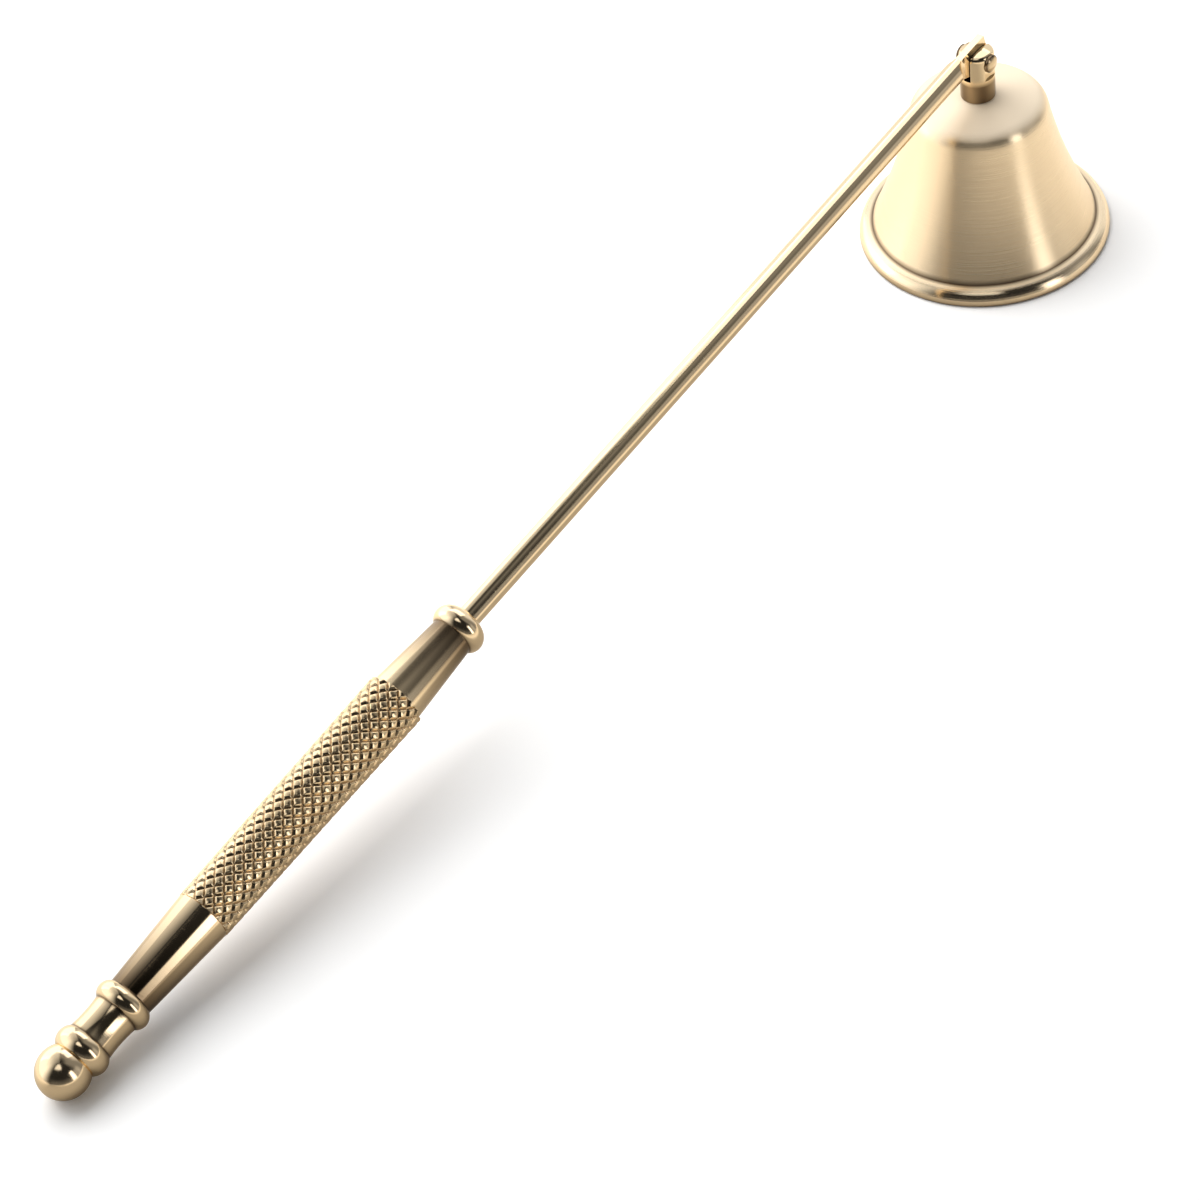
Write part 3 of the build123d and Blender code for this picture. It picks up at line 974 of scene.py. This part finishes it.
# Camera at the photo's angle
camera_azimuth, camera_elevation, camera_roll = radians(-43.12), radians(45.40), radians(-9.7455)
camera_distance = 454.87
camera_sensor = 36.0
camera_lens = 98.31
look_back, look_aside = 93.854, -1.433
look_at = Vector((pin.x - look_back, look_aside, 0))
camera_turn = (
    Matrix.Rotation(camera_azimuth, 4, "Z") @ Matrix.Rotation(pi / 2 - camera_elevation, 4, "X")
    @ Matrix.Rotation(camera_roll, 4, "Z")
)
camera = bpy.data.objects.new("camera", bpy.data.cameras.new("camera"))
camera.data.sensor_width = camera_sensor
camera.data.lens = camera_lens
camera.data.clip_start = 0.01
bpy.context.scene.collection.objects.link(camera)
back = camera_turn.to_3x3() @ Vector((0, 0, camera_distance))
camera.matrix_world = Matrix.Translation((look_at + back) * MM) @ camera_turn
bpy.context.scene.camera = camera


# Studio: pale floor, a tent of light with dark gaps, and a key from the left and behind

backdrop = 0.97
ambient = 0.02
floor_reach = 4.0
floor_drop = 0.02
floor_tone = (0.88, 0.9)
floor_lift = 1.2
# Floor brightness in reflections: dimmed beside the handle as a painted shadow, and clear of it
handle_shadow_lift = 0.52
open_lift = 1.2
# Warm tint painted on the floor only where metal mirrors it
mirrored_tint = (1.0, 0.92, 0.8)


def window(tree, value, low, high, soft):
    """Mask that is one between two angles in degrees, with soft borders."""
    rising = ranged(tree, value, radians(low - soft), radians(low + soft), 0.0, 1.0)
    falling = ranged(tree, value, radians(high - soft), radians(high + soft), 1.0, 0.0)
    return sums(tree, "MULTIPLY", rising, falling)


def light_tent():
    """World light by direction: azimuth from the camera towards the image's right, and elevation."""
    world = bpy.data.worlds.new("studio")
    world.use_nodes = True
    tree = world.node_tree
    direction = make(tree, "ShaderNodeTexCoord").outputs["Generated"]
    facing = make(tree, "ShaderNodeVectorRotate", {
        "Vector": direction, "Angle": pi / 2 - camera_azimuth
    }, rotation_type="Z_AXIS").outputs[0]
    spot = make(tree, "ShaderNodeSeparateXYZ", {"Vector": facing}).outputs
    azimuth = sums(tree, "ARCTAN2", spot["Y"], spot["X"])
    elevation = sums(tree, "ARCSINE", spot["Z"])
    # Azimuth from and to, elevation from and to, softness in degrees, and strength of each window
    windows = (
        (-50, 10, 61, 82, 4, 1.2),
        (40, 55, -10, 36, 3, 2.4),
        (55, 84, -10, 28, 8, 0.3),
        (70, 190, -10, 72, 12, 0.23),
        (112, 176, -10, 44, 12, 0.7),
        (-190, -150, -10, 46, 8, 0.35),
        (-190, -70, -14, 68, 22, 0.76),
        (-190, -90, 60, 120, 14, 0.2),
        (-140, -70, -16, 48, 22, 0.8),
        (-45, 45, -10, 14, 12, 0.12),
    )
    level = ambient
    for left, right, low, high, soft, strength in windows:
        across = window(tree, azimuth, left, right, soft)
        mask = sums(tree, "MULTIPLY", across, window(tree, elevation, low, high, soft))
        level = sums(tree, "MULTIPLY_ADD", mask, strength, level)
    seen = make(tree, "ShaderNodeLightPath").outputs["Is Camera Ray"]
    shade = make(tree, "ShaderNodeMix", {"Factor": seen, "A": level, "B": backdrop}).outputs["Result"]
    light = tree.nodes["Background"]
    tree.links.new(shade, light.inputs["Color"])
    bpy.context.scene.world = world


def softbox(name, middle, facing, size, radiance, mirrored=True):
    """Rectangular light with its middle and direction given in millimetres from the bell's centre."""
    light = bpy.data.lights.new(name, "AREA")
    light.shape = "RECTANGLE"
    light.size, light.size_y = (length * MM for length in size)
    light.energy = radiance * pi * light.size * light.size_y
    thing = bpy.data.objects.new(name, light)
    thing.location = (bell_place @ Vector(middle)) * MM
    thing.rotation_euler = Vector(facing).to_track_quat("-Z", "Y").to_euler()
    thing.visible_camera = False
    thing.visible_glossy = mirrored
    bpy.context.scene.collection.objects.link(thing)


def floor_material():
    """White paper, lifted where it is seen; where metal mirrors it, tinted warm and dimmed by a painted
    shadow beside the handle.
    """
    front_clear, front_dim = -65, -28
    rear_dim, rear_clear = 0, 20
    bell_dim, bell_clear = pin.x - 25, pin.x + 5
    material = bpy.data.materials.new("floor")
    material.use_nodes = True
    tree = material.node_tree
    tree.nodes.remove(tree.nodes["Principled BSDF"])
    place = make(tree, "ShaderNodeTexCoord").outputs["Object"]
    noise = make(tree, "ShaderNodeTexNoise", {"Vector": place, "Scale": 40.0, "Detail": 3.0})
    tone = ranged(tree, noise.outputs["Fac"], *noise_range, *floor_tone)
    rays = make(tree, "ShaderNodeLightPath").outputs
    lift = sums(tree, "MULTIPLY_ADD", rays["Is Camera Ray"], floor_lift - 1, 1.0)
    spot = make(tree, "ShaderNodeSeparateXYZ", {"Vector": place}).outputs
    # Painted shadow seen only in reflections: the floor near the handle, away from the bell, is dimmed
    in_front = ranged(tree, spot["Y"], front_clear * MM, front_dim * MM, 1.0, 0.0)
    behind = ranged(tree, spot["Y"], rear_dim * MM, rear_clear * MM, 0.0, 1.0)
    beside_bell = ranged(tree, spot["X"], bell_dim * MM, bell_clear * MM, 0.0, 1.0)
    clear = sums(tree, "MAXIMUM", sums(tree, "MAXIMUM", in_front, behind), beside_bell)
    mirrored = ranged(tree, clear, 0.0, 1.0, handle_shadow_lift - 1, open_lift - 1, False)
    lift = sums(tree, "MULTIPLY_ADD", rays["Is Glossy Ray"], mirrored, lift)
    # Painted warm reflection: the floor that metal mirrors is tinted warm
    warmth = blended(tree, rays["Is Glossy Ray"], (1, 1, 1), mirrored_tint)
    lifted = make(tree, "ShaderNodeVectorMath", {
        0: warmth, "Scale": sums(tree, "MULTIPLY", tone, lift)
    }, operation="SCALE").outputs[0]
    paper = make(tree, "ShaderNodeBsdfDiffuse", {"Color": lifted})
    tree.links.new(paper.outputs[0], tree.nodes["Material Output"].inputs["Surface"])
    return material


light_tent()
softbox("left", (-80, 300, 145), (0, -1, 0), (340, 280), 0.75)
softbox("above", (185, 150, 320), (0, 0, -1), (340, 370), 1.35)
softbox("key", (-120, 212, 351), (0, -0.53, -0.85), (400, 400), 2.6, mirrored=False)
bpy.context.scene.view_settings.view_transform = "Standard"
floor_mesh = bpy.data.meshes.new("floor")
corners = [(floor_reach * x, floor_reach * y, 0) for x, y in ((-1, -1), (1, -1), (1, 1), (-1, 1))]
floor_mesh.from_pydata(corners, [], [(0, 1, 2, 3)])
floor_mesh.materials.append(floor_material())
floor = bpy.data.objects.new("floor", floor_mesh)
floor.location.z = -floor_drop * MM
bpy.context.scene.collection.objects.link(floor)
